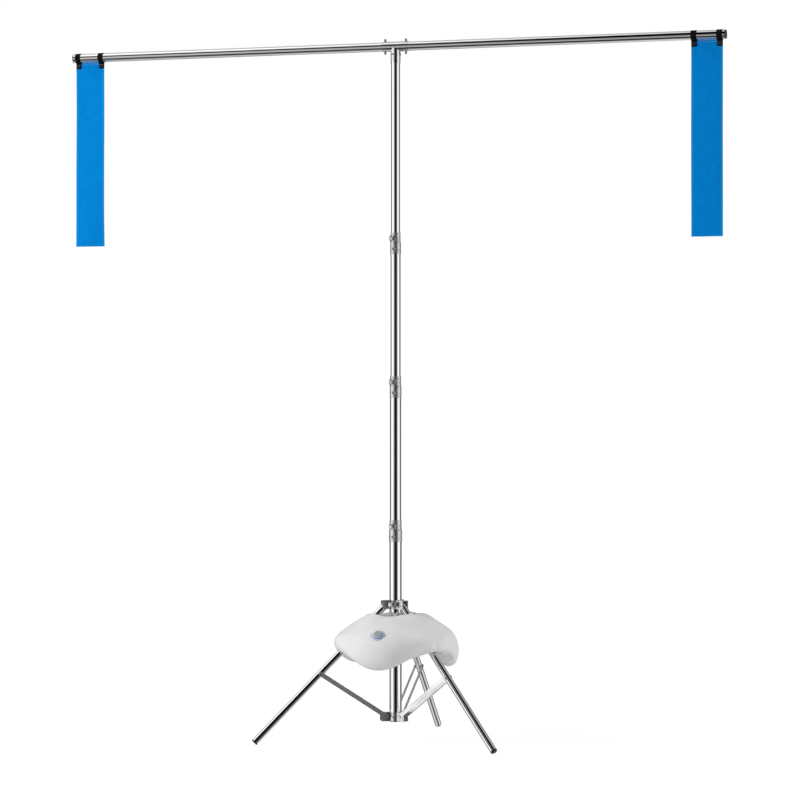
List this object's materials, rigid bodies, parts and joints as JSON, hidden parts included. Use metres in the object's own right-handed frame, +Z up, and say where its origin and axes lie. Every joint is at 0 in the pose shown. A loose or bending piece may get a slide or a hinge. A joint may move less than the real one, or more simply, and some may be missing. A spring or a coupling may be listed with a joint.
{
  "type": "telescopic target stand",
  "caption": "Free-standing telescopic tube mast on a folding tripod, with a tee and cross bar that carries hanging banners and a ring-shaped water ballast bag over the legs.",
  "frame": {"origin": "on the floor under the mast's axis", "axes": "+X along the cross bar towards its shorter reach, +Y towards the rear leg, +Z up the mast"},
  "size_m": [1.896, 0.606, 1.9385],
  "materials": {
    "polished_tube": "mirror polished stainless tube",
    "pressed_steel": "bright pressed steel",
    "wing_steel": "bright nickel plated",
    "rivet_steel": "turned bright steel",
    "strap_steel": "rolled flat steel strip, satin",
    "spring_steel": "blued spring strip",
    "button_steel": "bright turned steel",
    "black_plug": "moulded black plastic",
    "blue_cloth": "coated woven cloth, satin",
    "black_webbing": "flat woven webbing with stitch lines",
    "white_bag": "soft white sheet vinyl, satin",
    "valve_plastic": "translucent pale blue moulding",
    "stopper_plastic": "moulded grey plastic"
  },
  "bodies": {
    "stand": {"mast_tube_lower": "polished_tube", "collar_lower": "polished_tube", "collar_rivet_lower": "rivet_steel", "mast_foot_plug": "black_plug", "lower_hub": "pressed_steel", "lower_hub_rivets": "rivet_steel", "lower_hub_pins": "rivet_steel"},
    "middle_mast": {"mast_tube_middle": "polished_tube", "collar_middle": "polished_tube", "collar_rivet_middle": "rivet_steel"},
    "upper_mast": {"mast_tube_upper": "polished_tube", "collar_upper": "polished_tube", "collar_rivet_upper": "rivet_steel"},
    "head": {"mast_tube_top": "polished_tube", "top_tube_plug": "black_plug", "tee_head": "polished_tube", "tee_rivets": "rivet_steel", "arm_left": "polished_tube", "arm_right": "polished_tube", "arm_cap_left": "black_plug", "arm_cap_right": "black_plug", "snap_spring_left": "spring_steel", "snap_spring_right": "spring_steel"},
    "screw_lower": {"wing_screw_lower": "wing_steel"},
    "screw_middle": {"wing_screw_middle": "wing_steel"},
    "screw_upper": {"wing_screw_upper": "wing_steel"},
    "screw_hub": {"wing_screw_hub": "wing_steel"},
    "sliding_hub": {"upper_hub": "pressed_steel", "upper_hub_pins": "rivet_steel"},
    "bag": {"ballast_bag": "white_bag", "filler_valve": "valve_plastic"},
    "stopper": {"valve_stopper": "stopper_plastic"},
    "leg_left_body": {"leg_left": "polished_tube", "foot_plug_left": "black_plug", "leg_pin_left": "rivet_steel"},
    "brace_left_body": {"brace_left": "strap_steel", "brace_rivets_left": "rivet_steel"},
    "leg_right_body": {"leg_right": "polished_tube", "foot_plug_right": "black_plug", "leg_pin_right": "rivet_steel"},
    "brace_right_body": {"brace_right": "strap_steel", "brace_rivets_right": "rivet_steel"},
    "leg_rear_body": {"leg_rear": "polished_tube", "foot_plug_rear": "black_plug", "leg_pin_rear": "rivet_steel"},
    "brace_rear_body": {"brace_rear": "strap_steel", "brace_rivets_rear": "rivet_steel"},
    "button_left_top": {"snap_button_left_top": "button_steel"},
    "button_left_bottom": {"snap_button_left_bottom": "button_steel"},
    "loops_left": {"webbing_loops_left": "black_webbing"},
    "cloth_left": {"banner_left": "blue_cloth", "webbing_tabs_left": "black_webbing"},
    "button_right_top": {"snap_button_right_top": "button_steel"},
    "button_right_bottom": {"snap_button_right_bottom": "button_steel"},
    "loops_right": {"webbing_loops_right": "black_webbing"},
    "cloth_right": {"banner_right": "blue_cloth", "webbing_tabs_right": "black_webbing"}
  },
  "joints": [
    {"name": "middle_mast_slide", "type": "slide", "parent": "stand", "child": "middle_mast", "axis": [0, 0, 1], "range_m": [-0.335, 0]},
    {"name": "upper_mast_slide", "type": "slide", "parent": "middle_mast", "child": "upper_mast", "axis": [0, 0, 1], "range_m": [-0.333, 0]},
    {"name": "head_slide", "type": "slide", "parent": "upper_mast", "child": "head", "axis": [0, 0, 1], "range_m": [-0.463, 0]},
    {"name": "screw_lower_turn", "type": "hinge", "parent": "stand", "child": "screw_lower", "pos_m": [0, -0.022, 0.5936], "axis": [0, -1, 0], "range_deg": [0, 360]},
    {"name": "screw_middle_turn", "type": "hinge", "parent": "middle_mast", "child": "screw_middle", "pos_m": [0, -0.022, 0.9909], "axis": [0, -1, 0], "range_deg": [0, 360]},
    {"name": "screw_upper_turn", "type": "hinge", "parent": "upper_mast", "child": "screw_upper", "pos_m": [0, -0.022, 1.3868], "axis": [0, -1, 0], "range_deg": [0, 360]},
    {"name": "screw_hub_turn", "type": "hinge", "parent": "sliding_hub", "child": "screw_hub", "pos_m": [0, -0.022, 0.37853], "axis": [0, -1, 0], "range_deg": [0, 360]},
    {"name": "hub_slide", "type": "slide", "parent": "stand", "child": "sliding_hub", "axis": [0, 0, 1], "range_m": [0, 0.158]},
    {"name": "leg_left_fold", "type": "hinge", "parent": "sliding_hub", "child": "leg_left_body", "pos_m": [-0.02468, -0.01425, 0.37533], "axis": [0.5, -0.866, 0], "range_deg": [0, 30.99]},
    {"name": "brace_left_fold", "type": "hinge", "parent": "stand", "child": "brace_left_body", "pos_m": [-0.02468, -0.01425, 0.0713], "axis": [-0.5, 0.866, 0], "range_deg": [0, 40.51]},
    {"name": "leg_right_fold", "type": "hinge", "parent": "sliding_hub", "child": "leg_right_body", "pos_m": [0.02468, -0.01425, 0.37533], "axis": [0.5, 0.866, 0], "range_deg": [0, 30.99]},
    {"name": "brace_right_fold", "type": "hinge", "parent": "stand", "child": "brace_right_body", "pos_m": [0.02468, -0.01425, 0.0713], "axis": [-0.5, -0.866, 0], "range_deg": [0, 40.51]},
    {"name": "leg_rear_fold", "type": "hinge", "parent": "sliding_hub", "child": "leg_rear_body", "pos_m": [0, 0.0285, 0.37533], "axis": [-1, 0, 0], "range_deg": [0, 30.99]},
    {"name": "brace_rear_fold", "type": "hinge", "parent": "stand", "child": "brace_rear_body", "pos_m": [0, 0.0285, 0.0713], "axis": [1, 0, 0], "range_deg": [0, 40.51]},
    {"name": "bag_lift", "type": "slide", "parent": "sliding_hub", "child": "bag", "axis": [0, 0, 1], "range_m": [0, 0.15]},
    {"name": "stopper_pull", "type": "slide", "parent": "bag", "child": "stopper", "axis": [0, -0.7533, 0.6577], "range_m": [0, 0.015]},
    {"name": "button_left_top_press", "type": "slide", "parent": "head", "child": "button_left_top", "axis": [0, 0, -1], "range_m": [0, 0.0092], "stiffness_N_per_m": 900, "springref_m": -0.002},
    {"name": "button_left_bottom_press", "type": "slide", "parent": "head", "child": "button_left_bottom", "axis": [0, 0, 1], "range_m": [0, 0.0092], "stiffness_N_per_m": 900, "springref_m": -0.002},
    {"name": "loops_left_slide", "type": "slide", "parent": "head", "child": "loops_left", "axis": [1, 0, 0], "range_m": [-0.005, 0.684]},
    {"name": "cloth_left_swing", "type": "hinge", "parent": "loops_left", "child": "cloth_left", "pos_m": [-0.917, 0, 1.917], "axis": [1, 0, 0], "range_deg": [-80, 80]},
    {"name": "button_right_top_press", "type": "slide", "parent": "head", "child": "button_right_top", "axis": [0, 0, -1], "range_m": [0, 0.0092], "stiffness_N_per_m": 900, "springref_m": -0.002},
    {"name": "button_right_bottom_press", "type": "slide", "parent": "head", "child": "button_right_bottom", "axis": [0, 0, 1], "range_m": [0, 0.0092], "stiffness_N_per_m": 900, "springref_m": -0.002},
    {"name": "loops_right_slide", "type": "slide", "parent": "head", "child": "loops_right", "axis": [-1, 0, 0], "range_m": [-0.005, 0.642]},
    {"name": "cloth_right_swing", "type": "hinge", "parent": "loops_right", "child": "cloth_right", "pos_m": [0.875, 0, 1.917], "axis": [1, 0, 0], "range_deg": [-80, 80]}
  ],
  "couplings": [
    {"joint": "leg_left_fold", "follows": "hub_slide", "rad_per_m": 3.4234},
    {"joint": "brace_left_fold", "follows": "hub_slide", "rad_per_m": 4.4744},
    {"joint": "leg_right_fold", "follows": "hub_slide", "rad_per_m": 3.4234},
    {"joint": "brace_right_fold", "follows": "hub_slide", "rad_per_m": 4.4744},
    {"joint": "leg_rear_fold", "follows": "hub_slide", "rad_per_m": 3.4234},
    {"joint": "brace_rear_fold", "follows": "hub_slide", "rad_per_m": 4.4744}
  ]
}
